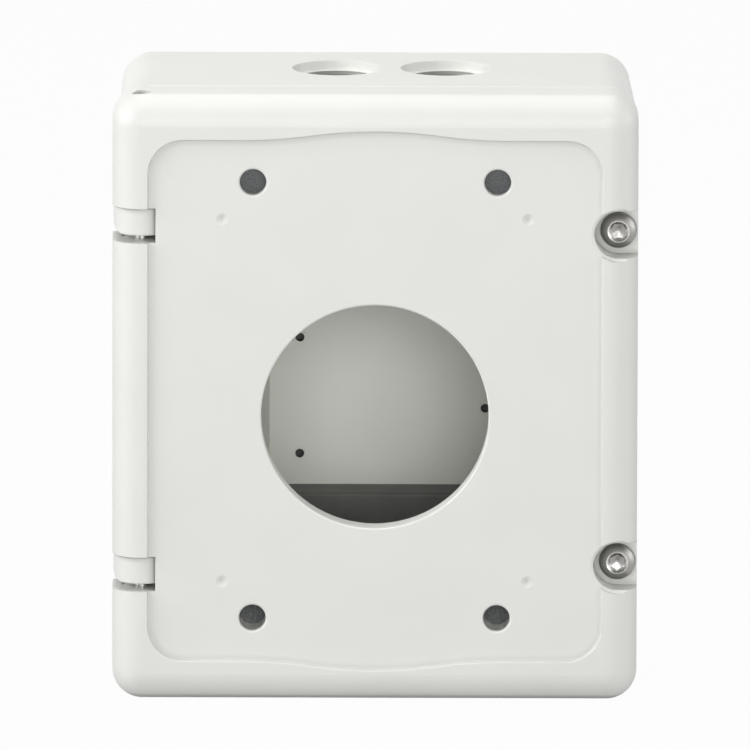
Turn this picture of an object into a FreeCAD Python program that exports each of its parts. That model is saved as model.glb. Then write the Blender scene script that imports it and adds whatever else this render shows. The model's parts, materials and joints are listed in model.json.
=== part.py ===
import FreeCAD, Part
import math
import os

# Camera junction box: a die-cast housing for the wall, closed by a cast cover on two hinge pins.
# The cover carries the camera arm: a cable hole in its middle and four bolt holes round it.
# Millimetres. X runs to the right, Y towards the wall, Z up.
# The origin is the centre of the back face, and the front of the cover looks along -Y.

# Whole box
box_depth = 112.0
cover_width = 215.0
cover_height = 252.6
cover_corner_r = 12.5
cover_edge_r = 12.0
cover_depth = 27.0
parting_gap = 0.4

# Housing outline: flush with the cover above and below, inside it at the sides, and narrower
# towards the wall, as a casting is
front_inset_left = 2.3
front_inset_right = 0.5
front_inset_z = 0.0
back_inset_x = 3.3
back_inset_z = 2.15
back_edge_r = 4.0
parting_edge_r = 1.0
outer_wall = 4.0
back_wall = 5.0
back_relief = 1.0
back_relief_margin_x = 26.2
back_relief_margin_z = 31.6

# Sealed inner wall of the housing and the gasket that it presses
seal_inset_left = 26.8
seal_inset_right = 21.5
seal_inset_z = 4.75
seal_corner_r = 8.0
seal_wall = 3.0
gasket_width = 4.0
gasket_depth = 3.5
gasket_gap = 0.3
groove_wall = 2.0

# Cover casting
cover_wall = 4.0
cover_front_wall = 6.0
cover_inner_r = 8.0
cover_rear_edge_r = 0.8

# Panel recessed into the front of the cover
recess_depth = 2.0
recess_slope = 0.5
recess_margin_x = 14.4
recess_margin_z = 17.4
recess_bulge = 3.75
recess_bulge_half_width = 53.5
recess_corner_r = 14.5
recess_edge_r = 0.4

# Cable hole in the cover
cable_hole_r = 46.6
cable_hole_z = -6.8
cable_rim = 6.0
cable_rim_depth = 10.0
cable_lip_r = 0.8

# Bolt holes for the camera arm, each with a rubber plug
arm_spacing_x = 100.0
arm_inset_z = 35.3
arm_hole_r = 5.45
arm_hole_lip_r = 0.9
arm_hole_land = 5.0
arm_boss_r = 10.5
arm_boss_depth = 20.0
plug_step = 0.17
plug_depth_upper = 5.0
plug_depth_lower = 14.5
plug_flange_r = 8.0
plug_flange = 2.0

# Drill marks for another camera arm
mark_spacing_x = 125.0
mark_spacing_z = 151.4
mark_r = 2.5
mark_depth = 1.0

# Stiffening ribs behind the cover
cover_rib = 3.0
cover_rib_depth = 7.0

# Hinge on the left edge
hinge_inset = 12.0
hinge_depth = 14.0
hinge_pin_r = 3.0
hinge_running_gap = 0.06
hinge_pin_length = 65.0
hinge_pin_inset = 8.75
hinge_end_gap = 2.0
hinge_entry_r = 3.85
hinge_barrel_r = 8.0
notch_inset = 46.3
notch_height = 14.4
notch_r = 13.25
notch_right = 4.6
knuckle_r = 11.5
knuckle_height = 11.4
knuckle_top_gap = 0.2
knuckle_corner_r = 4.0
knuckle_edge_r = 0.8
knuckle_leg_right = 6.5
knuckle_root_depth = 26.0
sweep_gap = 0.7

# Captive screws on the right edge
screw_inset = 8.1
screw_inset_z = 57.0
pocket_r = 9.9
pocket_depth = 14.5
pocket_floor = 4.0
pocket_wall = 3.5
pocket_lip = 1.1
head_r = 7.25
head_height = 3.9
head_crown = 2.6
socket_flats = 6.0
socket_depth = 3.0
socket_ring_r = 4.45
socket_rim = 0.15
socket_point = 1.0
crown_rise = 0.45
shank_r = 3.25
shank_hole_r = 4.5
screw_engagement = 6.0
washer_r = 7.4
washer_thickness = 0.8
retainer_r = 5.6
retainer_thickness = 1.2
retainer_running_gap = 0.05
retainer_rear_gap = 0.7
retainer_bore_r = 6.3
tapped_r = 4.0
tapped_depth = 20.0
screw_column_r = 8.2

# Conduit entries in the top of the housing
conduit_left_x = -16.0
conduit_right_x = 28.5
conduit_from_front = 71.0
conduit_face_r = 18.4
conduit_face_depth = 4.45
conduit_thread_r = 16.62
conduit_thread_length = 14.0
conduit_boss_wall = 4.2

# Inside of the housing
partition_x = -43.7
partition_depth = 60.0
partition_thickness = 2.5
partition_draft_deg = 3.0
channel_web = 3.0
channel_web_z = [-35.0, 0.0, 35.0]
channel_web_depth = 40.0
stud_hole_r = 1.85
stud_hole_depth = 4.0
stud_boss_r = 3.0
stud_boss_height = 0.5
stud_holes = [(-31.2, 4.8), (-31.2, -44.1), (45.3, -25.0)]

# Wall screw holes, outside the seal
wall_hole_inset_x = 10.2
wall_hole_inset_z = 19.15
wall_hole_r = 3.5

# Terminal cover and terminal block on the back wall
terminal_left = -38.0
terminal_right = 66.0
terminal_top = -57.1
terminal_height = 48.0
terminal_depth = 18.0
terminal_wall = 2.0
terminal_corner_r = 2.8
terminal_edge_r = 1.5
terminal_seat_gap = 0.3
terminal_screw_inset = 6.0
terminal_screw_r = 1.6
terminal_screw_head_r = 3.2
terminal_screw_head = 2.0
terminal_cross_reach = 1.92
terminal_cross_width = 0.8
terminal_cross_depth = 1.2
terminal_post_r = 3.6
block_ways = 6
block_pitch = 12.0
block_height = 22.0
block_base_depth = 9.0
block_body_depth = 11.5
block_margin = 1.0
block_crest_rim = 1.0
block_slit_width = 1.2
block_slit_floor = 2.0
contact_r = 3.0
contact_bore_r = 1.9
contact_length = 18.0
clamp_r = 1.7
clamp_spacing = 10.0
clamp_entry_r = 2.2
clamp_sink = 1.0
clamp_reach = 0.6
clamp_slot_width = 0.6
clamp_slot_depth = 0.9

# Earth screw beside the partition
earth_x = -62.0
earth_z = -78.0
earth_boss_r = 6.5
earth_boss_height = 6.0
earth_shank_r = 2.5
earth_shank_length = 8.0
earth_head_r = 4.8
earth_head_height = 3.2
earth_washer_r = 5.5
earth_washer_thickness = 1.0
earth_slot_width = 1.2
earth_slot_depth = 1.4

# Places that follow from the sizes above
half_width = cover_width / 2
half_height = cover_height / 2
front_left = half_width - front_inset_left
front_right = half_width - front_inset_right
front_half_height = half_height - front_inset_z
back_half_width = half_width - back_inset_x
back_half_height = half_height - back_inset_z
seal_left = half_width - seal_inset_left
seal_right = half_width - seal_inset_right
seal_half_height = half_height - seal_inset_z
recess_half_width = half_width - recess_margin_x
recess_half_height = half_height - recess_margin_z
arm_spacing_z = cover_height - 2 * arm_inset_z
hinge_x = hinge_inset - half_width
hinge_pin_high = half_height - hinge_pin_inset
hinge_pin_low = hinge_pin_high - hinge_pin_length
notch_high = half_height - notch_inset
notch_low = notch_high - notch_height
screw_x = half_width - screw_inset
screw_z = half_height - screw_inset_z
wall_hole_x = back_half_width - wall_hole_inset_x
wall_hole_z = back_half_height - wall_hole_inset_z
front_y = -box_depth
parting_y = front_y + cover_depth
cover_rear_y = parting_y - parting_gap
recess_y = front_y + recess_depth
cover_inside_y = front_y + cover_front_wall
hinge_y = front_y + hinge_depth
pocket_y = front_y + pocket_depth
pocket_back_y = pocket_y + pocket_floor
floor_y = -back_wall
screw_tip_y = parting_y + screw_engagement
partition_front_y = floor_y - partition_depth
conduit_y = front_y + conduit_from_front
over = 1.0
far = 400.0


def box(x0, x1, y0, y1, z0, z1):
    """A block between two corners."""
    return Part.makeBox(x1 - x0, y1 - y0, z1 - z0, FreeCAD.Vector(x0, y0, z0))


def rod_y(x, z, r, y0, y1):
    """A round bar along Y from y0 to y1."""
    return Part.makeCylinder(r, y1 - y0, FreeCAD.Vector(x, y0, z), FreeCAD.Vector(0, 1, 0))


def rod_z(x, y, r, z0, z1):
    """A round bar along Z from z0 to z1."""
    return Part.makeCylinder(r, z1 - z0, FreeCAD.Vector(x, y, z0), FreeCAD.Vector(0, 0, 1))


def corner_arc(cx, cz, r, start_deg, y):
    """A quarter circle in the plane at y, which starts at start_deg from +X."""
    def at(deg):
        a = math.radians(deg)
        return FreeCAD.Vector(cx + r * math.cos(a), y, cz + r * math.sin(a))
    return Part.Arc(at(start_deg), at(start_deg + 45), at(start_deg + 90))


def round_rect(x0, x1, z0, z1, r, y):
    """A closed rectangle with round corners in the plane at y."""
    top_right = corner_arc(x1 - r, z1 - r, r, 0, y)
    top_left = corner_arc(x0 + r, z1 - r, r, 90, y)
    low_left = corner_arc(x0 + r, z0 + r, r, 180, y)
    low_right = corner_arc(x1 - r, z0 + r, r, 270, y)
    arcs = [top_right, top_left, low_left, low_right]
    edges = []
    for arc, following in zip(arcs, arcs[1:] + arcs[:1]):
        edges.append(arc.toShape())
        edges.append(Part.makeLine(arc.EndPoint, following.StartPoint))
    return Part.Wire(edges)


def prism(wire, y1):
    """The solid between a flat outline and its copy in the plane at y1."""
    face = Part.Face(wire)
    return face.extrude(FreeCAD.Vector(0, y1 - wire.Vertexes[0].Point.y, 0))


def round_block(x0, x1, z0, z1, r, y0, y1):
    """A block along Y with round corners."""
    return prism(round_rect(x0, x1, z0, z1, r, y0), y1)


def ring_block(half_width, y0, y1):
    """A closed frame of this half width along the line of the seal."""
    def outline(grow):
        return round_block(
            -seal_left - grow, seal_right + grow, -seal_half_height - grow,
            seal_half_height + grow, seal_corner_r + grow, y0, y1)
    return outline(half_width).cut(outline(-half_width))


def fillet_where(shape, r, wanted):
    """Round the edges that the test picks."""
    return shape.makeFillet(r, [e for e in shape.Edges if wanted(e)])


def flat_in_y(edge, y):
    """Does the whole edge lie in the plane at y?"""
    b = edge.BoundBox
    return abs(b.YMin - y) < 1e-4 and abs(b.YMax - y) < 1e-4


def flat_in_z(edge, z):
    """Does the whole edge lie at the height z?"""
    b = edge.BoundBox
    return abs(b.ZMin - z) < 1e-4 and abs(b.ZMax - z) < 1e-4


def lathe_y(x, z, points):
    """Revolve an outline of (radius, y) points about the line along Y through x, z."""
    corners = [FreeCAD.Vector(x + r, y, z) for r, y in points]
    face = Part.Face(Part.makePolygon(corners + corners[:1]))
    return face.revolve(FreeCAD.Vector(x, 0, z), FreeCAD.Vector(0, 1, 0), 360)


def housing_outer():
    """The outside of the housing: two round rectangles joined by drafted walls."""
    r = cover_corner_r
    front = round_rect(
        -front_left, front_right, -front_half_height, front_half_height, r, parting_y)
    back = round_rect(
        -back_half_width, back_half_width, -back_half_height, back_half_height, r, 0)
    body = Part.makeLoft([front, back], True, True)
    body = fillet_where(body, parting_edge_r, lambda e: flat_in_y(e, parting_y))
    return fillet_where(body, back_edge_r, lambda e: flat_in_y(e, 0))


def housing_inner():
    """The same drafted form one wall inside, from the open front down to the back wall."""
    r = cover_corner_r - outer_wall
    w = outer_wall
    front = round_rect(
        -front_left + w, front_right - w, -front_half_height + w, front_half_height - w,
        r, parting_y - over)
    back = round_rect(
        -back_half_width + w, back_half_width - w, -back_half_height + w, back_half_height - w,
        r, floor_y)
    return Part.makeLoft([front, back], True, True)


def main_cavity():
    """The sealed space that holds the wiring."""
    inset = seal_wall / 2
    return round_block(
        -seal_left + inset, seal_right - inset, -seal_half_height + inset,
        seal_half_height - inset, seal_corner_r - inset, parting_y - over, floor_y)


def side_channels():
    """Open channels left and right of the seal, for the hinge roots and the screw columns."""
    outset = seal_wall / 2
    z = seal_half_height - outset
    inner = housing_inner()
    left = inner.common(box(-far, -seal_left - outset, -far, 0, -z, z))
    right = inner.common(box(seal_right + outset, far, -far, 0, -z, z))
    webs = []
    for web_z in channel_web_z:
        low, high = web_z - channel_web / 2, web_z + channel_web / 2
        webs.append(box(-far, far, floor_y - channel_web_depth, 0, low, high))
    return left.fuse(right).cut(Part.makeCompound(webs))


def hinge_sweep():
    """The space that the rear edge of the cover turns through, a barrel with round ends."""
    rear = cover_rear_y - hinge_y

    def swept(deg, sign):
        """The sweep of a point on the cover's round corner, at deg up from its side."""
        a = math.radians(deg)
        aside = hinge_x + half_width - cover_corner_r * (1 - math.cos(a))
        z = half_height - cover_corner_r * (1 - math.sin(a))
        return FreeCAD.Vector(
            hinge_x + math.hypot(max(aside, 0), rear) + sweep_gap, hinge_y, sign * z)
    top_out, low_out = swept(90, 1), swept(90, -1)
    beyond = FreeCAD.Vector(0, 0, over)
    top_in = FreeCAD.Vector(hinge_x, hinge_y, half_height + over)
    low_in = FreeCAD.Vector(hinge_x, hinge_y, -half_height - over)
    edges = [
        Part.makeLine(low_in, top_in),
        Part.makeLine(top_in, top_out + beyond),
        Part.makeLine(top_out + beyond, top_out),
        Part.Arc(top_out, swept(45, 1), swept(0, 1)).toShape(),
        Part.makeLine(swept(0, 1), swept(0, -1)),
        Part.Arc(swept(0, -1), swept(45, -1), low_out).toShape(),
        Part.makeLine(low_out, low_out - beyond),
        Part.makeLine(low_out - beyond, low_in),
    ]
    face = Part.Face(Part.Wire(edges))
    return face.revolve(FreeCAD.Vector(hinge_x, hinge_y, 0), FreeCAD.Vector(0, 0, 1), 360)


def knuckle_levels():
    """The lower and upper end of each housing knuckle."""
    levels = []
    for notch_top in (notch_high, -notch_low):
        top = notch_top - knuckle_top_gap
        levels.append((top - knuckle_height, top))
    return levels


def hinge_knuckle(low, high):
    """One lug of the housing: a leg rising from the rim to a round eye about the hinge line."""
    left, right = hinge_x - knuckle_r, hinge_x + knuckle_leg_right
    root_y = parting_y + knuckle_root_depth
    inner_left = -front_left + outer_wall / 2
    corners = [
        (left, hinge_y), (left, parting_y + over), (inner_left, root_y),
        (hinge_x, root_y), (right, parting_y + knuckle_root_depth / 2), (right, hinge_y)]
    points = [FreeCAD.Vector(x, y, low) for x, y in corners]
    leg = Part.Face(Part.makePolygon(points + points[:1])).extrude(
        FreeCAD.Vector(0, 0, high - low))
    lug = leg.fuse(rod_z(hinge_x, hinge_y, knuckle_r, low, high))
    r = knuckle_corner_r
    side = round_rect(left, left + far, low, low + far, r, front_y - over)
    lug = lug.common(prism(side, far)).removeSplitter()

    def outer_edge(e):
        mid = e.valueAt((e.FirstParameter + e.LastParameter) / 2)
        level = flat_in_z(e, low) or flat_in_z(e, high)
        reach = math.hypot(mid.x - hinge_x, mid.y - hinge_y)
        return level and mid.y < parting_y and reach > knuckle_r - 0.01
    lug = fillet_where(lug, knuckle_edge_r, outer_edge)
    bore = rod_z(hinge_x, hinge_y, hinge_pin_r + hinge_running_gap, low - over, high + over)
    return lug.cut(bore).removeSplitter()


def partition_rib():
    """The drafted rib that parts the wiring space in two."""
    lean = partition_depth * math.tan(math.radians(partition_draft_deg))
    right_front = partition_x - lean
    left_front = right_front - partition_thickness
    left_back = left_front - lean / 2
    corners = [
        (partition_x, floor_y + over), (partition_x, floor_y), (right_front, partition_front_y),
        (left_front, partition_front_y), (left_back, floor_y), (left_back, floor_y + over)]
    points = [FreeCAD.Vector(x, y, -seal_half_height) for x, y in corners]
    face = Part.Face(Part.makePolygon(points + points[:1]))
    return face.extrude(FreeCAD.Vector(0, 0, 2 * seal_half_height))


def top_face_z(y):
    """Height of the drafted top face at this depth."""
    share = (y - parting_y) / (0 - parting_y)
    return front_half_height + (back_half_height - front_half_height) * share


def terminal_posts():
    """The places of the two posts that hold the terminal cover."""
    z = terminal_top - terminal_height / 2
    inset = terminal_wall + terminal_screw_inset
    return [(terminal_left + inset, z), (terminal_right - inset, z)]


def block_ends():
    """Left and right end of the terminal block, centred under its cover."""
    middle = (terminal_left + terminal_right) / 2
    half = block_ways * block_pitch / 2 + block_margin
    return middle - half, middle + half


def rear_housing():
    """The wall box with its seal wall, channels, hinge lugs, columns and conduit entries."""
    outer = housing_outer()
    body = outer.cut(main_cavity()).cut(side_channels())
    columns = []
    for z in (-screw_z, screw_z):
        columns.append(rod_y(screw_x, z, screw_column_r, parting_y, floor_y + over))
    conduit_face_z = top_face_z(conduit_y) - conduit_face_depth
    boss_low_z = conduit_face_z - conduit_thread_length
    for x in (conduit_left_x, conduit_right_x):
        r = conduit_thread_r + conduit_boss_wall
        columns.append(rod_z(x, conduit_y, r, boss_low_z, seal_half_height))
    for x, z in stud_holes:
        columns.append(rod_y(x, z, stud_boss_r, floor_y - stud_boss_height, floor_y + over))
    post_y = floor_y - terminal_depth + terminal_wall + terminal_seat_gap
    for x, z in terminal_posts():
        columns.append(rod_y(x, z, terminal_post_r, post_y, floor_y + over))
    columns.append(
        rod_y(earth_x, earth_z, earth_boss_r, floor_y - earth_boss_height, floor_y + over))
    columns.append(partition_rib())
    body = body.fuse([c.common(outer) for c in columns])
    body = body.cut(hinge_sweep())
    body = body.fuse([hinge_knuckle(low, high) for low, high in knuckle_levels()])

    cuts = []
    for z in (-screw_z, screw_z):
        cuts.append(rod_y(screw_x, z, tapped_r, parting_y - over, parting_y + tapped_depth))
    for x in (conduit_left_x, conduit_right_x):
        cuts.append(rod_z(x, conduit_y, conduit_thread_r, boss_low_z - over, far))
        cuts.append(rod_z(x, conduit_y, conduit_face_r, conduit_face_z, far))
    for x, z in stud_holes:
        start = floor_y - stud_boss_height
        cuts.append(rod_y(x, z, stud_hole_r, start - over, start + stud_hole_depth))
    for x, z in terminal_posts():
        cuts.append(rod_y(x, z, terminal_screw_r, post_y - over, floor_y))
    earth_top = floor_y - earth_boss_height
    cuts.append(
        rod_y(earth_x, earth_z, earth_shank_r, earth_top - over, earth_top + earth_shank_length))
    for x in (-wall_hole_x, wall_hole_x):
        for z in (-wall_hole_z, wall_hole_z):
            cuts.append(rod_y(x, z, wall_hole_r, floor_y - over, over))
    w, h = back_half_width - back_relief_margin_x, back_half_height - back_relief_margin_z
    cuts.append(round_block(-w, w, -h, h, cover_corner_r, -back_relief, over))
    return body.cut(cuts).removeSplitter()


def recess_outline(inset, y):
    """The outline of the panel: straight sides, and long S-curves that bow its top and bottom."""
    w = recess_half_width - inset
    h = recess_half_height - inset
    r = recess_corner_r - inset
    b = recess_bulge_half_width
    half = recess_bulge / 2
    bend = 2 * math.atan2(recess_bulge, b)
    bow_r = b / (2 * math.sin(bend))
    sag = bow_r * (1 - math.cos(bend / 2))
    quarter = bow_r * math.sin(bend / 2)

    def at(x, z):
        return FreeCAD.Vector(x, y, z)

    def bowed_edge(sign):
        """The top edge from right to left for sign 1, and the bottom edge back for sign -1."""
        low, mid, high = sign * h, sign * (h + half), sign * (h + recess_bulge)
        step = sign * sag
        return [
            Part.makeLine(at(sign * (w - r), low), at(sign * b, low)),
            Part.Arc(
                at(sign * b, low), at(sign * (b - quarter), low + step),
                at(sign * b / 2, mid)).toShape(),
            Part.Arc(at(sign * b / 2, mid), at(0, high), at(-sign * b / 2, mid)).toShape(),
            Part.Arc(
                at(-sign * b / 2, mid), at(-sign * (b - quarter), low + step),
                at(-sign * b, low)).toShape(),
            Part.makeLine(at(-sign * b, low), at(-sign * (w - r), low)),
        ]
    edges = [corner_arc(w - r, h - r, r, 0, y).toShape()]
    edges += bowed_edge(1)
    edges.append(corner_arc(-w + r, h - r, r, 90, y).toShape())
    edges.append(Part.makeLine(at(-w, h - r), at(-w, -h + r)))
    edges.append(corner_arc(-w + r, -h + r, r, 180, y).toShape())
    edges += bowed_edge(-1)
    edges.append(corner_arc(w - r, -h + r, r, 270, y).toShape())
    edges.append(Part.makeLine(at(w, -h + r), at(w, h - r)))
    return Part.Wire(edges)


def recess_tool():
    """The sloped pan that is taken out of the cover's front."""
    floor = recess_outline(recess_slope, recess_y)
    mouth = recess_outline(0, front_y)
    pan = Part.makeLoft([floor, mouth], True, True)
    return pan.fuse(prism(mouth, front_y - over))


def cover_shell():
    """The front plate and skirt, with the round front edge and the panel."""
    w, h = half_width, half_height
    outer = round_block(-w, w, -h, h, cover_corner_r, front_y, cover_rear_y)
    outer = fillet_where(outer, cover_edge_r, lambda e: flat_in_y(e, front_y))
    outer = fillet_where(outer, cover_rear_edge_r, lambda e: flat_in_y(e, cover_rear_y))
    outer = outer.cut(recess_tool())

    def recess_edge(e):
        near = e.BoundBox.XMax < w - cover_edge_r - over / 2
        return near and (flat_in_y(e, front_y) or flat_in_y(e, recess_y))
    outer = fillet_where(outer, recess_edge_r, recess_edge)
    t = cover_wall
    inside = round_block(
        -w + t, w - t, -h + t, h - t, cover_corner_r - t, cover_inside_y, cover_rear_y + over)
    inside = fillet_where(inside, cover_inner_r, lambda e: flat_in_y(e, cover_inside_y))
    return outer, inside


def arm_holes():
    """The four bolt holes of the camera arm as (x, z)."""
    x, z = arm_spacing_x / 2, arm_spacing_z / 2
    return [(-x, z), (x, z), (-x, -z), (x, -z)]


def slot_outline(z, r, y):
    """A slot about a cover screw at z, round on the left and open to the right edge."""
    right = half_width + over

    def at(x, dz):
        return FreeCAD.Vector(x, y, z + dz)
    return Part.Wire([
        Part.makeLine(at(right, r), at(screw_x, r)),
        Part.Arc(at(screw_x, r), at(screw_x - r, 0), at(screw_x, -r)).toShape(),
        Part.makeLine(at(screw_x, -r), at(right, -r)),
        Part.makeLine(at(right, -r), at(right, r)),
    ])


def screw_slots(grow, y0, y1):
    """A straight slot for each cover screw."""
    return [prism(slot_outline(z, pocket_r + grow, y0), y1) for z in (-screw_z, screw_z)]


def pocket_mouths():
    """The bevelled mouth of each screw pocket."""
    mouths = []
    r = pocket_r
    for z in (-screw_z, screw_z):
        narrow = slot_outline(z, r, recess_y + pocket_lip)
        wide = slot_outline(z, r + pocket_lip, recess_y)
        mouths.append(Part.makeLoft([narrow, wide], True, True))
        mouths.append(prism(wide, front_y - over))
    return mouths


def front_cover():
    """The hinged cover with everything that is cast into it."""
    outer, inside = cover_shell()
    seal_half = gasket_width / 2 + groove_wall
    keep = [ring_block(seal_half, cover_inside_y - over, cover_rear_y)]
    keep.append(rod_z(hinge_x, hinge_y, hinge_barrel_r, -far, far))
    keep.append(rod_y(
        0, cable_hole_z, cable_hole_r + cable_rim, cover_inside_y - over,
        recess_y + cable_rim_depth))
    for x, z in arm_holes():
        keep.append(rod_y(x, z, arm_boss_r, cover_inside_y - over, recess_y + arm_boss_depth))
    keep += screw_slots(pocket_wall, cover_inside_y - over, pocket_back_y)
    for z in (-screw_z, screw_z):
        r = retainer_bore_r + pocket_wall
        keep.append(rod_y(screw_x, z, r, pocket_y, cover_rear_y))
    rib_y = cover_inside_y + cover_rib_depth
    for x in (-arm_spacing_x / 2, arm_spacing_x / 2):
        half = arm_spacing_z / 2
        keep.append(box(
            x - cover_rib / 2, x + cover_rib / 2, cover_inside_y - over, rib_y, -half, half))
    for z in (-arm_spacing_z / 2, arm_spacing_z / 2):
        keep.append(box(
            -seal_left, seal_right, cover_inside_y - over, rib_y, z - cover_rib / 2,
            z + cover_rib / 2))
    hollow = inside.cut(keep)
    body = outer.cut(hollow)

    cuts = [ring_block(gasket_width / 2, cover_rear_y - gasket_depth, cover_rear_y + over)]
    cuts += screw_slots(0, front_y - over, pocket_y)
    cuts += pocket_mouths()
    for z in (-screw_z, screw_z):
        cuts.append(rod_y(screw_x, z, shank_hole_r, pocket_y - over, pocket_back_y + over))
        cuts.append(rod_y(screw_x, z, retainer_bore_r, pocket_back_y, cover_rear_y + over))
    cuts.append(rod_y(0, cable_hole_z, cable_hole_r, front_y - over, cover_rear_y))
    for x, z in arm_holes():
        cuts.append(rod_y(x, z, arm_hole_r, front_y - over, recess_y + arm_hole_land))
        cuts.append(rod_y(
            x, z, arm_hole_r + plug_step, recess_y + arm_hole_land, cover_rear_y))
    for x in (-mark_spacing_x / 2, mark_spacing_x / 2):
        for z in (-mark_spacing_z / 2, mark_spacing_z / 2):
            mark = [(0, recess_y - over), (mark_r, recess_y - over), (mark_r, recess_y),
                    (0, recess_y + mark_depth)]
            cuts.append(lathe_y(x, z, mark))
    for low, high in ((notch_low, notch_high), (-notch_high, -notch_low)):
        cuts.append(rod_z(hinge_x, hinge_y, notch_r, low, high))
        cuts.append(box(-far, hinge_x + notch_right, -far, hinge_y, low, high))
        right = hinge_x + knuckle_leg_right + (notch_r - knuckle_r)
        cuts.append(box(-far, right, hinge_y, far, low, high))
    for sign in (-1, 1):
        start, stop = sign * (hinge_pin_low - hinge_end_gap), sign * hinge_pin_high
        cuts.append(rod_z(hinge_x, hinge_y, hinge_pin_r, min(start, stop), max(start, stop)))
        outside = sign * (half_height + over)
        cuts.append(rod_z(
            hinge_x, hinge_y, hinge_entry_r, min(stop, outside), max(stop, outside)))
    body = body.cut(cuts).removeSplitter()

    def cable_lip(e):
        c = e.Curve
        return flat_in_y(e, recess_y) and isinstance(c, Part.Circle) and (
            abs(c.Radius - cable_hole_r) < 1e-3)

    def arm_lip(e):
        c = e.Curve
        return flat_in_y(e, recess_y) and isinstance(c, Part.Circle) and (
            abs(c.Radius - arm_hole_r) < 1e-3)
    body = fillet_where(body, cable_lip_r, cable_lip)
    return fillet_where(body, arm_hole_lip_r, arm_lip)


def cover_gasket():
    """The foam cord that lies in the cover's groove."""
    return ring_block(
        gasket_width / 2, cover_rear_y - gasket_depth, parting_y - gasket_gap)


def hinge_pin(sign):
    """A plain steel pin, driven in from the end of the cover."""
    start, stop = sorted((sign * hinge_pin_low, sign * hinge_pin_high))
    pin = rod_z(hinge_x, hinge_y, hinge_pin_r, start, stop)
    return pin.makeChamfer(hinge_pin_r / 6, pin.Edges[0:1] + pin.Edges[2:3])


def cover_screw(z, turn_deg):
    """A socket screw with a domed head; the thread is at its core diameter."""
    seat_y = pocket_y - washer_thickness
    top_y = seat_y - head_height
    rim_y = seat_y - (head_height - head_crown)

    def at(r, y):
        return FreeCAD.Vector(screw_x + r, y, z)
    crown_r = (head_r + socket_ring_r + crown_rise) / 2
    crown_y = (top_y + rim_y - crown_rise) / 2
    tip = shank_r / 5
    edges = [
        Part.makeLine(at(0, top_y), at(socket_ring_r, top_y)),
        Part.Arc(at(socket_ring_r, top_y), at(crown_r, crown_y), at(head_r, rim_y)).toShape(),
        Part.makeLine(at(head_r, rim_y), at(head_r, seat_y)),
        Part.makeLine(at(head_r, seat_y), at(shank_r, seat_y)),
        Part.makeLine(at(shank_r, seat_y), at(shank_r, screw_tip_y - tip)),
        Part.makeLine(at(shank_r, screw_tip_y - tip), at(shank_r - tip, screw_tip_y)),
        Part.makeLine(at(shank_r - tip, screw_tip_y), at(0, screw_tip_y)),
        Part.makeLine(at(0, screw_tip_y), at(0, top_y)),
    ]
    blank = Part.Face(Part.Wire(edges)).revolve(
        FreeCAD.Vector(screw_x, 0, z), FreeCAD.Vector(0, 1, 0), 360)
    corner_r = socket_flats / 2 / math.cos(math.radians(30))
    corners = []
    for i in range(7):
        a = math.radians(turn_deg + 60 * i)
        corners.append(at(corner_r * math.cos(a), top_y) + FreeCAD.Vector(
            0, 0, corner_r * math.sin(a)))
    socket = prism(Part.makePolygon(corners), top_y + socket_depth)
    point = lathe_y(screw_x, z, [
        (0, top_y), (socket_flats / 2, top_y), (socket_flats / 2, top_y + socket_depth),
        (0, top_y + socket_depth + socket_point)])
    bevel_r = socket_ring_r - socket_rim
    ring = lathe_y(screw_x, z, [(0, top_y), (bevel_r, top_y), (0, top_y + bevel_r)])
    return blank.cut([socket, point, ring])


def screw_washer(z):
    """The sealing washer under a screw head."""
    ring = rod_y(screw_x, z, washer_r, pocket_y - washer_thickness, pocket_y)
    bore = rod_y(
        screw_x, z, shank_r + retainer_running_gap, pocket_y - far, pocket_y + over)
    return ring.cut(bore)


def screw_retainer(z):
    """The ring that keeps a loosened screw in the cover."""
    rear = parting_y - retainer_rear_gap
    ring = rod_y(screw_x, z, retainer_r, rear - retainer_thickness, rear)
    bore = rod_y(screw_x, z, shank_r + retainer_running_gap, rear - far, rear + over)
    return ring.cut(bore)


def mount_plug(x, z, depth):
    """A rubber plug in a bolt hole, with a flange behind the boss."""
    r = arm_hole_r + plug_step
    rear = recess_y + arm_boss_depth
    plug = rod_y(x, z, r, recess_y + depth, rear + plug_flange)
    return plug.fuse(rod_y(x, z, plug_flange_r, rear, rear + plug_flange)).removeSplitter()


def terminal_cover():
    """The moulded cover over the terminals, a box with no back."""
    x0, x1 = terminal_left, terminal_right
    z1, z0 = terminal_top, terminal_top - terminal_height
    front = floor_y - terminal_depth
    t = terminal_wall
    rear = floor_y - terminal_seat_gap
    shell = round_block(x0, x1, z0, z1, terminal_corner_r, front, rear)
    shell = fillet_where(shell, terminal_edge_r, lambda e: flat_in_y(e, front))
    hollow = round_block(
        x0 + t, x1 - t, z0 + t, z1 - t, terminal_corner_r - t, front + t, rear + over)
    cuts = [hollow]
    for x, z in terminal_posts():
        cuts.append(rod_y(x, z, terminal_screw_r + terminal_seat_gap, front - over, front + far))
    return shell.cut(cuts)


def terminal_cover_screw(x, z):
    """A short pan-head screw that holds the terminal cover on its post."""
    seat = floor_y - terminal_depth
    head = rod_y(x, z, terminal_screw_head_r, seat - terminal_screw_head, seat)
    head = fillet_where(
        head, terminal_screw_head / 2, lambda e: flat_in_y(e, seat - terminal_screw_head))
    shank = rod_y(x, z, terminal_screw_r, seat, floor_y - over)
    cross = []
    reach, half = terminal_cross_reach, terminal_cross_width / 2
    top = seat - terminal_screw_head
    low = top + terminal_cross_depth
    for dx, dz in ((reach, half), (half, reach)):
        cross.append(box(x - dx, x + dx, top - over, low, z - dz, z + dz))
    return head.fuse(shank).cut(cross).removeSplitter()


def block_middle_z():
    """Height of the middle of the terminal block."""
    return terminal_top - terminal_height / 2


def way_centres():
    """The middle of each way of the terminal block along X."""
    left = block_ends()[0] + block_margin
    return [left + block_pitch * (i + 0.5) for i in range(block_ways)]


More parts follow.
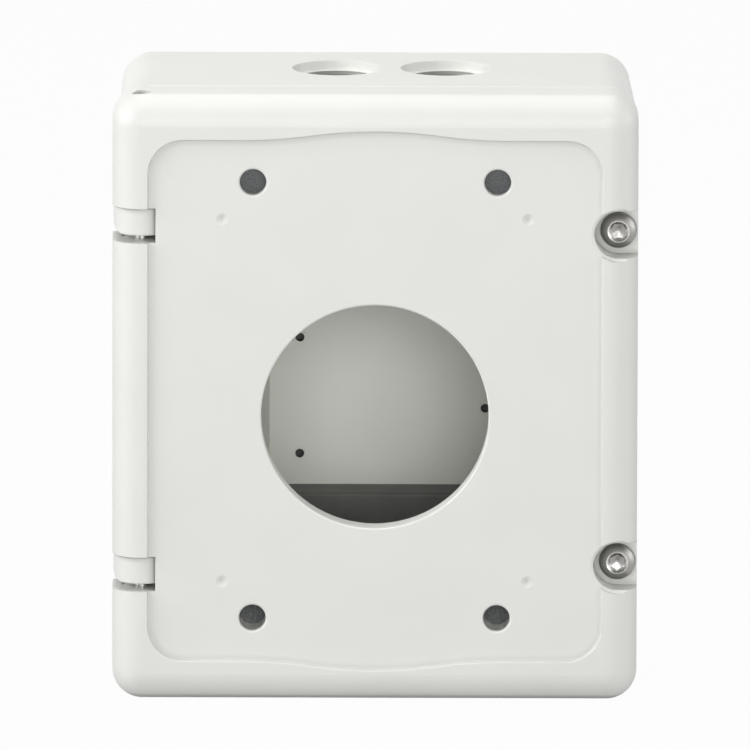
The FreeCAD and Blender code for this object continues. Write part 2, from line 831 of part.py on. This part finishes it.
def contact_y():
    """Depth of the line of the contacts."""
    return floor_y - block_base_depth / 2 - contact_r / 2


def terminal_block():
    """The insulating strip: a stepped body with a wire bore and two screw wells for each way."""
    x0, x1 = block_ends()
    z = block_middle_z()
    half = block_height / 2
    base = box(x0, x1, floor_y - block_base_depth, floor_y, z - half, z + half)
    crest_half = clamp_spacing / 2 + clamp_entry_r + block_crest_rim
    crest = box(x0, x1, floor_y - block_body_depth, floor_y, z - crest_half, z + crest_half)
    body = base.fuse(crest).removeSplitter()
    cuts = []
    slit = block_slit_width / 2
    slit_y = floor_y - block_base_depth + block_slit_floor
    for x in way_centres():
        cuts.append(rod_z(x, contact_y(), contact_r, z - half - over, z + half + over))
        for side in (-1, 1):
            cuts.append(rod_y(
                x, z + side * clamp_spacing / 2, clamp_entry_r,
                floor_y - block_body_depth - over, contact_y()))
        gap_x = x + block_pitch / 2
        if gap_x < x1 - block_pitch / 2:
            cuts.append(box(gap_x - slit, gap_x + slit, -far, slit_y, z - far, z + far))
    return body.cut(cuts)


def terminal_contacts():
    """The brass sleeves, one for each way, with tapped holes for the clamp screws."""
    z = block_middle_z()
    sleeves = []
    for x in way_centres():
        half = contact_length / 2
        sleeve = rod_z(x, contact_y(), contact_r, z - half, z + half)
        cuts = [rod_z(x, contact_y(), contact_bore_r, z - half - over, z + half + over)]
        for side in (-1, 1):
            cuts.append(rod_y(
                x, z + side * clamp_spacing / 2, clamp_r, contact_y() - far, contact_y()))
        sleeves.append(sleeve.cut(cuts))
    return Part.makeCompound(sleeves)


def clamp_screws():
    """Two grub screws for each contact, with a driver slot."""
    z = block_middle_z()
    top = floor_y - block_body_depth + clamp_sink
    tip = contact_y() - contact_bore_r + clamp_reach
    w = clamp_slot_width / 2
    screws = []
    for x in way_centres():
        for side in (-1, 1):
            cz = z + side * clamp_spacing / 2
            screw = rod_y(x, cz, clamp_r, top, tip)
            slot = box(x - w, x + w, top - over, top + clamp_slot_depth, cz - far, cz + far)
            screws.append(screw.cut(slot))
    return Part.makeCompound(screws)


def earth_screw():
    """The slotted screw that clamps the earth wire."""
    seat = floor_y - earth_boss_height - earth_washer_thickness
    top = seat - earth_head_height
    head = rod_y(earth_x, earth_z, earth_head_r, top, seat)
    head = fillet_where(head, earth_head_height / 3, lambda e: flat_in_y(e, top))
    tip = floor_y - earth_boss_height + earth_shank_length - over
    shank = rod_y(earth_x, earth_z, earth_shank_r, seat, tip)
    w = earth_slot_width / 2
    slot = box(earth_x - far, earth_x + far, top - over, top + earth_slot_depth,
               earth_z - w, earth_z + w)
    return head.fuse(shank).removeSplitter().cut(slot)


def earth_washer():
    """The washer under the earth screw's head."""
    seat = floor_y - earth_boss_height
    ring = rod_y(earth_x, earth_z, earth_washer_r, seat - earth_washer_thickness, seat)
    return ring.cut(rod_y(earth_x, earth_z, earth_shank_r, seat - far, seat + over))


def make_nodes():
    """Every piece of the box by its node name."""
    nodes = {
        "rear_housing": rear_housing(),
        "front_cover": front_cover(),
        "cover_gasket": cover_gasket(),
        "hinge_pin_upper": hinge_pin(1),
        "hinge_pin_lower": hinge_pin(-1),
        "cover_screw_upper": cover_screw(screw_z, 0),
        "cover_screw_lower": cover_screw(-screw_z, 30),
        "terminal_cover": terminal_cover(),
        "terminal_block": terminal_block(),
        "terminal_contacts": terminal_contacts(),
        "clamp_screws": clamp_screws(),
        "earth_screw": earth_screw(),
        "earth_washer": earth_washer(),
    }
    for level, z in (("upper", screw_z), ("lower", -screw_z)):
        nodes["screw_washer_" + level] = screw_washer(z)
        nodes["screw_retainer_" + level] = screw_retainer(z)
    for x, z in arm_holes():
        level = "upper" if z > 0 else "lower"
        side = "left" if x < 0 else "right"
        depth = plug_depth_upper if z > 0 else plug_depth_lower
        nodes["mount_plug_" + level + "_" + side] = mount_plug(x, z, depth)
    for side, (x, z) in zip(("left", "right"), terminal_posts()):
        nodes["terminal_cover_screw_" + side] = terminal_cover_screw(x, z)
    return nodes


os.makedirs("parts", exist_ok=True)
for name, shape in make_nodes().items():
    shape.exportStep("parts/" + name + ".step")
    print(name, len(shape.Solids), "solids", round(shape.Volume), "mm3", shape.isValid())
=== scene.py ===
import json
import math

import bpy
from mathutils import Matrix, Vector


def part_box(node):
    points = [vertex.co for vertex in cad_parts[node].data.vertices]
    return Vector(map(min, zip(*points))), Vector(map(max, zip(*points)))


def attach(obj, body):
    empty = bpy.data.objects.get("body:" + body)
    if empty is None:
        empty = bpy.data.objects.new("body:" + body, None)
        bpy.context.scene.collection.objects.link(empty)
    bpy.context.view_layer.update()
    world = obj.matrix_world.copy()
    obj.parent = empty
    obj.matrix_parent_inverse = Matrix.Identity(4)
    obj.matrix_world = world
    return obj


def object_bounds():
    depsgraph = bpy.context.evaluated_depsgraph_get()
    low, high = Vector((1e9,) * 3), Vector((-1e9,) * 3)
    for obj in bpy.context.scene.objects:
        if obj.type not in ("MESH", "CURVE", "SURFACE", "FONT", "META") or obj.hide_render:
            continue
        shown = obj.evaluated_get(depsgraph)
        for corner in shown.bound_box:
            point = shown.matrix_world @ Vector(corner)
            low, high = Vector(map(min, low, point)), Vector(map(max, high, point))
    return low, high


# Camera junction box: finishes, screw threads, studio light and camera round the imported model.
# Metres. X runs to the right, Y towards the wall, Z up. The cover looks along -Y.

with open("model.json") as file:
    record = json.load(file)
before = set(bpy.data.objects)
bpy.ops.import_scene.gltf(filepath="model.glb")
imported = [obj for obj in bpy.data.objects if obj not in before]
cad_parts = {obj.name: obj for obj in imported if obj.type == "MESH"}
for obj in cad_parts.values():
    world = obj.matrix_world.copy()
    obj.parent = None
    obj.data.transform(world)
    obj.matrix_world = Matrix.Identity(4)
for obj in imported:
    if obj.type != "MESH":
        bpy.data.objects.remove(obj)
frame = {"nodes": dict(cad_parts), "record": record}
cad_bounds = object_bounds()

# Viewing angle, in degrees above the level and to the right of straight ahead
VIEW_UP = 11.83
VIEW_RIGHT = 0.12
VIEW_ROLL = 0.14
VIEW_DISTANCE = 12.0
VIEW_TARGET = Vector((0.00003, -0.112, 0.01124))
VIEW_WIDTH = 0.30668
SENSOR_MM = 36.0

# Pipe thread in the conduit entries
PIPE_PITCH = 0.002309
PIPE_ROOT_R = 0.01662
PIPE_CREST_R = 0.01516
PIPE_X = (-0.016, 0.0285)
PIPE_Y = -0.041
PIPE_TOP = 0.1207
PIPE_LENGTH = 0.014

# Thread of the cover screws, behind the retaining ring
SCREW_PITCH = 0.00125
SCREW_CORE_R = 0.00325
SCREW_CREST_R = 0.00393
RING_CLEARANCE = 0.0003

# Ridges of both threads: steps round one turn, half widths as shares of the pitch, how far the
# ridge reaches into the wall that carries it, and from which angle an edge of it looks sharp
SEGMENTS_PER_TURN = 48
ROOT_SHARE = 0.42
CREST_SHARE = 0.09
RIDGE_OVERLAP = 0.0001
SHARP_ANGLE = math.radians(30)

# Ivory coat, the two tones between which it drifts, its gloss and its peel
COAT = (0.79, 0.795, 0.76)
COAT_DARK = (0.782, 0.788, 0.752)
COAT_LIGHT = (0.798, 0.802, 0.768)
COAT_DRIFT_SIZE = 0.03
COAT_ROUGHNESS = (0.38, 0.48)
COAT_GLOSS_SIZE = 0.0011
PEEL_SIZE = 0.0012
PEEL_HEIGHT = 0.00004
SOFT_EDGE_R = 0.00025

# Other tones are painted over the coat in the places that follow, most of them painted light and
# shade. Each range along Y or Z says where the other tone starts, where it is full and where it
# ends.

# Middle of the sealed space, a little warmer: a painted tint of the light that bounces round
# inside
INSIDE_R = 0.085
INSIDE_Y = (-0.085, -0.065, -0.00125)
INSIDE_BOUNCE_TINT = (0.79, 0.795, 0.735)

# Painted shade in the creases of the cover and the lugs, darker than the open faces
CREASE_REACH = 0.003
CREASE_Y = (-0.1125, -0.1122, -0.0855)
CREASE_SHADE_TONE = (0.32, 0.32, 0.30)

# Painted light on the walls of the cable hole and of the conduit entries, lighter to look like the
# open faces
HOLE_AXIS = (0.0, -0.0068)
HOLE_WALL_R = 0.0475
HOLE_WALL_Y = (-0.1099, -0.1098, -0.0995)
CONDUIT_WALL_R = 0.01855
CONDUIT_WALL_Z = (0.1206, 0.1207, 0.1262)
WALL_PAINTED_LIGHT = (0.95, 0.955, 0.92)

# Painted shade deep in the bolt holes beyond the mouth and in the stud holes; the conduit threads
# are painted darker
CONDUIT_BORE_R = 0.0172
CONDUIT_BORE_Z = (0.1065, 0.1066, 0.1206)
CONDUIT_BORE_TONE = (0.48, 0.48, 0.455)
ARM_BORE = (0.050, 0.091)
ARM_BORE_R = 0.0056
ARM_BORE_LIP_R = 0.0068
ARM_BORE_Y = (-0.1088, -0.0995, -0.0860)
ARM_BORE_SHADE = (0.06, 0.06, 0.055)
STUD_HOLES = ((-0.0312, 0.0048), (-0.0312, -0.0441), (0.0453, -0.025))
STUD_HOLE_R = 0.0019
STUD_HOLE_Y = (-0.0054, -0.0052, -0.00125)
STUD_HOLE_SHADE = (0.03, 0.03, 0.028)

# Bright turned socket in the middle of each cover screw
SCREW_AXIS = (0.0994, 0.0693)
SCREW_SOCKET_R = 0.0046
SCREW_HEX_R = 0.0039
HEAD_STEEL = (0.32, 0.315, 0.30)
HEAD_DARK = (0.30, 0.295, 0.28)
HEAD_LIGHT = (0.34, 0.335, 0.32)
HEX_STEEL = (0.34, 0.335, 0.325)
RING_STEEL = (0.52, 0.515, 0.50)

# Texture of the other finishes, and how much lighter the light parts of a surface are
MOTTLE_SIZE = 0.012
MOULDED_GRAIN_SIZE = 0.0006
MOULDED_GRAIN_HEIGHT = 0.00003
TOOL_MARK_SIZE = 0.0004
TOOL_MARK_HEIGHT = 0.00001
LIGHTER = 1.12

# Studio floor
FLOOR_REACH = 6.0
FLOOR_GREY = 0.45
FLOOR_WHITE_SHARE = 0.97

# Point of the box that the lamps face
LIT_POINT = Vector((0.0, -0.06, 0.0))


def direction(right_deg, up_deg):
    """The unit vector from the box towards a place in front of it."""
    right, up = math.radians(right_deg), math.radians(up_deg)
    return Vector((
        math.sin(right) * math.cos(up), -math.cos(right) * math.cos(up), math.sin(up)))


def aim(obj, target):
    """Turn a camera or lamp towards a point."""
    obj.rotation_euler = (target - obj.location).to_track_quat("-Z", "Y").to_euler()


# Materials

class Shader:
    """A node material that is built up a step at a time round one Principled shader."""

    def __init__(self, name, color, roughness, metallic=0.0):
        self.material = bpy.data.materials.new(name)
        self.material.use_nodes = True
        self.tree = self.material.node_tree
        self.main = self.tree.nodes["Principled BSDF"]
        self.main.inputs["Base Color"].default_value = (*color, 1.0)
        self.main.inputs["Roughness"].default_value = roughness
        self.main.inputs["Metallic"].default_value = metallic
        self.place = self.tree.nodes.new("ShaderNodeTexCoord").outputs["Object"]
        self.normal = None

    def link(self, source, target):
        self.tree.links.new(source, target)

    def noise(self, size, detail=2.0, stretch=(1.0, 1.0, 1.0)):
        """Grey noise whose grain is about this many metres across."""
        scale = self.tree.nodes.new("ShaderNodeVectorMath")
        scale.operation = "MULTIPLY"
        scale.inputs[1].default_value = tuple(s / size for s in stretch)
        self.link(self.place, scale.inputs[0])
        node = self.tree.nodes.new("ShaderNodeTexNoise")
        node.inputs["Scale"].default_value = 1.0
        node.inputs["Detail"].default_value = detail
        self.link(scale.outputs["Vector"], node.inputs["Vector"])
        return node.outputs["Fac"]

    def two_tone(self, source, dark, light, low=0.35, high=0.65):
        """One colour where a grey value is low, another where it is high, blended between."""
        node = self.tree.nodes.new("ShaderNodeValToRGB")
        stops = ((low, dark), (high, light))
        for element, (position, color) in zip(node.color_ramp.elements, stops):
            element.position = position
            element.color = (*color, 1.0)
        self.link(source, node.inputs["Fac"])
        return node.outputs["Color"]

    def math(self, operation, a, b):
        """A sum on two grey values, either of which may be a plain number."""
        node = self.tree.nodes.new("ShaderNodeMath")
        node.operation = operation
        for socket, value in zip(node.inputs, (a, b)):
            if isinstance(value, float):
                socket.default_value = value
            else:
                self.link(value, socket)
        return node.outputs[0]

    def from_line(self, point, across, mirrored=False):
        """Distance from a line, or from its nearest mirror image; across is 1 along two axes."""
        place = self.place
        if mirrored:
            fold = self.tree.nodes.new("ShaderNodeVectorMath")
            fold.operation = "ABSOLUTE"
            self.link(place, fold.inputs[0])
            place = fold.outputs["Vector"]
        flat = self.tree.nodes.new("ShaderNodeVectorMath")
        flat.operation = "MULTIPLY_ADD"
        flat.inputs[1].default_value = across
        flat.inputs[2].default_value = tuple(-p * a for p, a in zip(point, across))
        self.link(place, flat.inputs[0])
        length = self.tree.nodes.new("ShaderNodeVectorMath")
        length.operation = "LENGTH"
        self.link(flat.outputs["Vector"], length.inputs[0])
        return length.outputs["Value"]

    def from_axis(self, x, z, mirrored=False):
        """Distance from a line along Y, or from its nearest mirror image left, right, up, down."""
        return self.from_line((x, 0.0, z), (1.0, 0.0, 1.0), mirrored)

    def layer(self, start, full, end, axis="Y"):
        """0 before start, rising to 1 at full, and 0 again past end, in metres along an axis."""
        axes = self.tree.nodes.new("ShaderNodeSeparateXYZ")
        self.link(self.place, axes.inputs[0])
        node = self.tree.nodes.new("ShaderNodeMapRange")
        node.inputs["From Min"].default_value = start
        node.inputs["From Max"].default_value = full
        self.link(axes.outputs[axis], node.inputs["Value"])
        before_end = self.math("LESS_THAN", axes.outputs[axis], end)
        return self.math("MULTIPLY", node.outputs["Result"], before_end)

    def mixed(self, mask, plain, other):
        """One colour where the mask is 0 and another where it is 1."""
        node = self.tree.nodes.new("ShaderNodeMix")
        node.data_type = "RGBA"
        self.link(mask, node.inputs["Factor"])
        sockets = [i for i in node.inputs if i.type == "RGBA"]
        for socket, value in zip(sockets, (plain, other)):
            if isinstance(value, tuple):
                socket.default_value = (*value, 1.0)
            else:
                self.link(value, socket)
        return next(o for o in node.outputs if o.type == "RGBA")

    def painted(self, tone, distance, radius, depths, color, axis="Y"):
        """A tone with another colour over it, near a line and in a range along an axis."""
        near = self.math("LESS_THAN", distance, radius)
        return self.mixed(
            self.math("MULTIPLY", near, self.layer(*depths, axis=axis)), tone, color)

    def color(self, source):
        self.link(source, self.main.inputs["Base Color"])

    def rough(self, source, low, high):
        """Spread the roughness between two values by a grey value."""
        node = self.tree.nodes.new("ShaderNodeMapRange")
        node.inputs["To Min"].default_value = low
        node.inputs["To Max"].default_value = high
        self.link(source, node.inputs["Value"])
        self.link(node.outputs["Result"], self.main.inputs["Roughness"])

    def openness(self, reach):
        """1 on open surfaces, less in creases and narrow gaps up to this many metres wide."""
        node = self.tree.nodes.new("ShaderNodeAmbientOcclusion")
        node.samples = 8
        node.inputs["Distance"].default_value = reach
        return node.outputs["AO"]

    def soften(self, radius):
        """Round the look of sharp edges, as a thick coating does."""
        node = self.tree.nodes.new("ShaderNodeBevel")
        node.samples = 6
        node.inputs["Radius"].default_value = radius
        self.normal = node.outputs["Normal"]
        self.link(self.normal, self.main.inputs["Normal"])

    def bump(self, source, height, strength):
        """Raise the surface by up to this many metres."""
        node = self.tree.nodes.new("ShaderNodeBump")
        node.inputs["Distance"].default_value = height
        node.inputs["Strength"].default_value = strength
        self.link(source, node.inputs["Height"])
        if self.normal is not None:
            self.link(self.normal, node.inputs["Normal"])
        self.normal = node.outputs["Normal"]
        self.link(self.normal, self.main.inputs["Normal"])


def powder_coat():
    """Ivory powder coat: satin, with a fine peel and slight tone shifts, and painted light and
    shade by place.
    """
    s = Shader("ivory_powder_coat", COAT, roughness=0.42)
    drift = s.noise(COAT_DRIFT_SIZE, detail=1.0)
    tone = s.two_tone(drift, COAT_DARK, COAT_LIGHT, low=0.3, high=0.7)
    # Painted tint of the light that bounces round inside the sealed space
    tone = s.painted(tone, s.from_axis(0.0, 0.0), INSIDE_R, INSIDE_Y, INSIDE_BOUNCE_TINT)
    from_bore = s.from_axis(*ARM_BORE, mirrored=True)
    # Painted shade in creases and narrow gaps, taken from ambient occlusion, kept off the
    # bolt-hole mouths
    crease_shade = s.math("SUBTRACT", 1.0, s.openness(CREASE_REACH))
    crease_shade = s.math("MULTIPLY", crease_shade, s.math("GREATER_THAN", from_bore, ARM_BORE_LIP_R))
    crease_shade = s.math("MULTIPLY", crease_shade, s.layer(*CREASE_Y))
    tone = s.mixed(crease_shade, tone, CREASE_SHADE_TONE)
    # Painted light on the wall of the cable hole
    tone = s.painted(tone, s.from_axis(*HOLE_AXIS), HOLE_WALL_R, HOLE_WALL_Y, WALL_PAINTED_LIGHT)
    # Painted light on the conduit entry walls, and their threads painted darker
    for x in PIPE_X:
        from_pipe = s.from_line((x, PIPE_Y, 0.0), (1.0, 1.0, 0.0))
        tone = s.painted(tone, from_pipe, CONDUIT_WALL_R, CONDUIT_WALL_Z, WALL_PAINTED_LIGHT, "Z")
        tone = s.painted(
            tone, from_pipe, CONDUIT_BORE_R, CONDUIT_BORE_Z, CONDUIT_BORE_TONE, "Z")
    # Painted shade deep in the bolt holes and in the stud holes
    tone = s.painted(tone, from_bore, ARM_BORE_R, ARM_BORE_Y, ARM_BORE_SHADE)
    for x, z in STUD_HOLES:
        tone = s.painted(tone, s.from_axis(x, z), STUD_HOLE_R, STUD_HOLE_Y, STUD_HOLE_SHADE)
    s.color(tone)
    s.rough(s.noise(COAT_GLOSS_SIZE), *COAT_ROUGHNESS)
    s.soften(SOFT_EDGE_R)
    s.bump(s.noise(PEEL_SIZE), PEEL_HEIGHT, strength=0.6)
    return s.material


def lighter(color):
    """The tone of the light parts of a surface that has this colour."""
    return tuple(min(c * LIGHTER, 1.0) for c in color)


def rubber(name, dark, light, grain):
    """Matt rubber or foam with a visible grain."""
    s = Shader(name, dark, roughness=0.75)
    s.color(s.two_tone(s.noise(grain, detail=3.0), dark, light))
    s.bump(s.noise(grain, detail=3.0), grain * 0.3, strength=0.5)
    return s.material


def moulding(name, color, roughness):
    """Moulded plastic with a fine texture."""
    s = Shader(name, color, roughness)
    s.color(s.two_tone(s.noise(MOTTLE_SIZE), color, lighter(color)))
    s.rough(s.noise(MOULDED_GRAIN_SIZE), roughness - 0.06, roughness + 0.06)
    s.bump(s.noise(MOULDED_GRAIN_SIZE), MOULDED_GRAIN_HEIGHT, strength=0.6)
    return s.material


def metal(name, color, roughness, stretch):
    """Metal with fine tool marks that run across the stretched direction."""
    s = Shader(name, color, roughness, metallic=1.0)
    marks = s.noise(TOOL_MARK_SIZE, stretch=stretch)
    s.color(s.two_tone(marks, color, lighter(color)))
    s.rough(marks, roughness - 0.05, roughness + 0.07)
    s.bump(marks, TOOL_MARK_HEIGHT, strength=0.5)
    return s.material


def screw_metal():
    """Dark satin steel with a bright turned socket in the middle of the head."""
    s = Shader("turned_steel", HEAD_STEEL, roughness=0.5, metallic=1.0)
    marks = s.noise(TOOL_MARK_SIZE, stretch=(1.0, 6.0, 1.0))
    tone = s.two_tone(marks, HEAD_DARK, HEAD_LIGHT)
    radius = s.from_axis(*SCREW_AXIS, mirrored=True)
    socket = s.math("LESS_THAN", radius, SCREW_SOCKET_R)
    ring = s.math("GREATER_THAN", radius, SCREW_HEX_R)
    s.color(s.mixed(socket, tone, s.mixed(ring, HEX_STEEL, RING_STEEL)))
    s.rough(s.math("SUBTRACT", marks, socket), low=0.24, high=0.66)
    s.bump(marks, TOOL_MARK_HEIGHT, strength=0.5)
    return s.material


MATERIALS = {
    "ivory_coating": powder_coat(),
    "gasket_foam": rubber("foam_cord", (0.02, 0.02, 0.02), (0.05, 0.05, 0.05), grain=0.0008),
    "pin_steel": metal(
        "ground_steel", (0.62, 0.61, 0.59), roughness=0.22, stretch=(1.0, 1.0, 8.0)),
    "screw_steel": screw_metal(),
    "washer_nylon": moulding("black_nylon", (0.10, 0.10, 0.10), roughness=0.55),
    "plug_rubber": rubber(
        "grey_rubber", (0.085, 0.088, 0.09), (0.16, 0.165, 0.17), grain=0.0007),
    "grey_moulding": moulding("grey_moulding", (0.115, 0.115, 0.108), roughness=0.6),
    "block_nylon": moulding("natural_nylon", (0.55, 0.54, 0.50), roughness=0.45),
    "contact_brass": metal(
        "brass", (0.62, 0.48, 0.22), roughness=0.28, stretch=(1.0, 1.0, 6.0)),
    "plated_steel": metal(
        "plated_steel", (0.60, 0.60, 0.58), roughness=0.32, stretch=(1.0, 6.0, 1.0)),
}


def dress_nodes():
    """Give each CAD node the finish that the record names for it."""
    for part in frame["record"]["subparts"]:
        obj = frame["nodes"][part["node"]]
        material = MATERIALS[part["material_slot"]]
        if not obj.material_slots:
            obj.data.materials.append(material)
        for slot in obj.material_slots:
            slot.material = material


# Threads

def helix_ridge(name, origin, axis, across, root_r, crest_r, pitch, length):
    """A screw thread as one ridge that winds from root_r to crest_r and fades at both ends."""
    axis, across = Vector(axis), Vector(across)
    other = axis.cross(across)
    turns = length / pitch
    count = int(turns * SEGMENTS_PER_TURN)
    root_half, crest_half = pitch * ROOT_SHARE, pitch * CREST_SHARE
    verts, faces = [], []
    for i in range(count + 1):
        angle = 2 * math.pi * i / SEGMENTS_PER_TURN
        out = across * math.cos(angle) + other * math.sin(angle)
        edge = min(i, count - i) / (SEGMENTS_PER_TURN / 2)
        crest = root_r + (crest_r - root_r) * min(edge, 1.0)
        middle = origin + axis * (pitch * i / SEGMENTS_PER_TURN)
        for r, along in ((root_r, -root_half), (crest, -crest_half), (crest, crest_half),
                         (root_r, root_half)):
            verts.append(middle + out * r + axis * along)
    for i in range(count):
        a, b = 4 * i, 4 * (i + 1)
        for k in range(3):
            faces.append((a + k, a + k + 1, b + k + 1, b + k))
        faces.append((a + 3, a, b, b + 3))
    faces.append((3, 2, 1, 0))
    last = 4 * count
    faces.append((last, last + 1, last + 2, last + 3))
    mesh = bpy.data.meshes.new(name)
    mesh.from_pydata(verts, [], faces)
    mesh.validate()
    mesh.shade_smooth()
    mesh.set_sharp_from_angle(angle=SHARP_ANGLE)
    obj = bpy.data.objects.new(name, mesh)
    bpy.context.scene.collection.objects.link(obj)
    return obj


def add_threads():
    """The pipe threads of the conduit entries and the threads of the cover screws."""
    for side, x in zip(("left", "right"), PIPE_X):
        start = Vector((x, PIPE_Y, PIPE_TOP - PIPE_LENGTH + PIPE_PITCH / 2))
        ridge = helix_ridge(
            "conduit_thread_" + side, start, (0, 0, 1), (0, 1, 0), PIPE_ROOT_R + RIDGE_OVERLAP,
            PIPE_CREST_R, PIPE_PITCH, PIPE_LENGTH - PIPE_PITCH)
        ridge.data.materials.append(MATERIALS["ivory_coating"])
        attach(ridge, "housing")
    for level in ("upper", "lower"):
        screw_low, screw_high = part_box("cover_screw_" + level)
        ring_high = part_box("screw_retainer_" + level)[1]
        x = (screw_low[0] + screw_high[0]) / 2
        z = (screw_low[2] + screw_high[2]) / 2
        start_y = ring_high[1] + RING_CLEARANCE + SCREW_PITCH / 2
        length = screw_high[1] - SCREW_PITCH / 2 - start_y
        ridge = helix_ridge(
            "screw_thread_" + level, Vector((x, start_y, z)), (0, 1, 0), (1, 0, 0),
            SCREW_CORE_R - RIDGE_OVERLAP, SCREW_CREST_R, SCREW_PITCH, length)
        ridge.data.materials.append(MATERIALS["screw_steel"])
        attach(ridge, level + "_screw")


# Studio

LIGHTS = [
    # name, degrees right, degrees up, distance, size, brightness
    ("front", 0.0, 10.0, 2.0, 1.2, 0.425),
    ("front_right", 22.0, 8.0, 2.5, 0.8, 0.105),
    ("above_front", 0.0, 65.0, 1.8, 1.2, 0.050),
    ("above", 0.0, 82.0, 1.8, 1.2, 0.285),
    ("above_back", 180.0, 60.0, 1.8, 1.2, 0.295),
    ("left", -72.0, 25.0, 1.8, 1.0, 0.545),
    ("far_left", -90.0, 15.0, 1.8, 1.2, 0.105),
    ("right", 85.0, 15.0, 1.8, 1.2, 0.290),
]


def add_lights():
    """Soft round lamps; brightness is what a white card facing the lamp would show."""
    for name, right, up, distance, size, brightness in LIGHTS:
        data = bpy.data.lights.new(name, "AREA")
        data.shape = "DISK"
        data.size = size
        data.energy = brightness * (math.pi * distance) ** 2
        lamp = bpy.data.objects.new(name, data)
        lamp.location = LIT_POINT + direction(right, up) * distance
        aim(lamp, LIT_POINT)
        bpy.context.scene.collection.objects.link(lamp)


def ray_mask(tree, *rays):
    """1 for the named kinds of ray and 0 for the others."""
    path = tree.nodes.new("ShaderNodeLightPath")
    mask = path.outputs[rays[0]]
    for ray in rays[1:]:
        either = tree.nodes.new("ShaderNodeMath")
        either.operation = "MAXIMUM"
        tree.links.new(mask, either.inputs[0])
        tree.links.new(path.outputs[ray], either.inputs[1])
        mask = either.outputs[0]
    return mask


def add_world():
    """A surround that looks white behind the box and in its gloss, and gives no other light."""
    world = bpy.data.worlds.new("studio")
    bpy.context.scene.world = world
    world.use_nodes = True
    tree = world.node_tree
    tree.nodes.clear()
    seen = ray_mask(tree, "Is Camera Ray", "Is Glossy Ray", "Is Transmission Ray")
    soft = tree.nodes.new("ShaderNodeBackground")
    soft.inputs["Color"].default_value = (1.0, 1.0, 1.0, 1.0)
    soft.inputs["Strength"].default_value = 0.0
    white = tree.nodes.new("ShaderNodeBackground")
    white.inputs["Color"].default_value = (1.0, 1.0, 1.0, 1.0)
    white.inputs["Strength"].default_value = 1.0
    mix = tree.nodes.new("ShaderNodeMixShader")
    out = tree.nodes.new("ShaderNodeOutputWorld")
    tree.links.new(seen, mix.inputs["Fac"])
    tree.links.new(soft.outputs[0], mix.inputs[1])
    tree.links.new(white.outputs[0], mix.inputs[2])
    tree.links.new(mix.outputs[0], out.inputs["Surface"])


def add_floor():
    """A plain pale floor that looks white to the camera but keeps a soft shadow."""
    mesh = bpy.data.meshes.new("floor")
    level, reach = cad_bounds[0][2], FLOOR_REACH
    mesh.from_pydata(
        [(-reach, -reach, level), (reach, -reach, level), (reach, reach, level),
         (-reach, reach, level)], [], [(0, 1, 2, 3)])
    floor = bpy.data.objects.new("floor", mesh)
    bpy.context.scene.collection.objects.link(floor)
    material = bpy.data.materials.new("pale_floor")
    material.use_nodes = True
    tree = material.node_tree
    main = tree.nodes["Principled BSDF"]
    main.inputs["Base Color"].default_value = (FLOOR_GREY, FLOOR_GREY, FLOOR_GREY, 1.0)
    main.inputs["Roughness"].default_value = 0.9
    main.inputs["Specular IOR Level"].default_value = 0.1
    glow = tree.nodes.new("ShaderNodeEmission")
    glow.inputs["Strength"].default_value = 1.0
    share = tree.nodes.new("ShaderNodeMath")
    share.operation = "MULTIPLY"
    share.inputs[1].default_value = FLOOR_WHITE_SHARE
    tree.links.new(ray_mask(tree, "Is Camera Ray", "Is Glossy Ray"), share.inputs[0])
    mix = tree.nodes.new("ShaderNodeMixShader")
    tree.links.new(share.outputs[0], mix.inputs["Fac"])
    tree.links.new(main.outputs["BSDF"], mix.inputs[1])
    tree.links.new(glow.outputs[0], mix.inputs[2])
    tree.links.new(mix.outputs[0], tree.nodes["Material Output"].inputs["Surface"])
    mesh.materials.append(material)


def add_camera():
    """A long lens far away, a little above the box and to its right."""
    data = bpy.data.cameras.new("camera")
    data.sensor_width = SENSOR_MM
    data.lens = SENSOR_MM * VIEW_DISTANCE / VIEW_WIDTH
    data.clip_end = 2 * VIEW_DISTANCE
    camera = bpy.data.objects.new("camera", data)
    camera.location = VIEW_TARGET + direction(VIEW_RIGHT, VIEW_UP) * VIEW_DISTANCE
    aim(camera, VIEW_TARGET)
    camera.rotation_euler.rotate_axis("Z", math.radians(VIEW_ROLL))
    bpy.context.scene.collection.objects.link(camera)
    bpy.context.scene.camera = camera


add_camera()
dress_nodes()
add_threads()
add_world()
add_floor()
add_lights()
bpy.context.scene.view_settings.view_transform = "Standard"


def plain(bounds):
    """The corners of a box as lists of numbers."""
    return [[float(v) for v in corner] for corner in bounds]
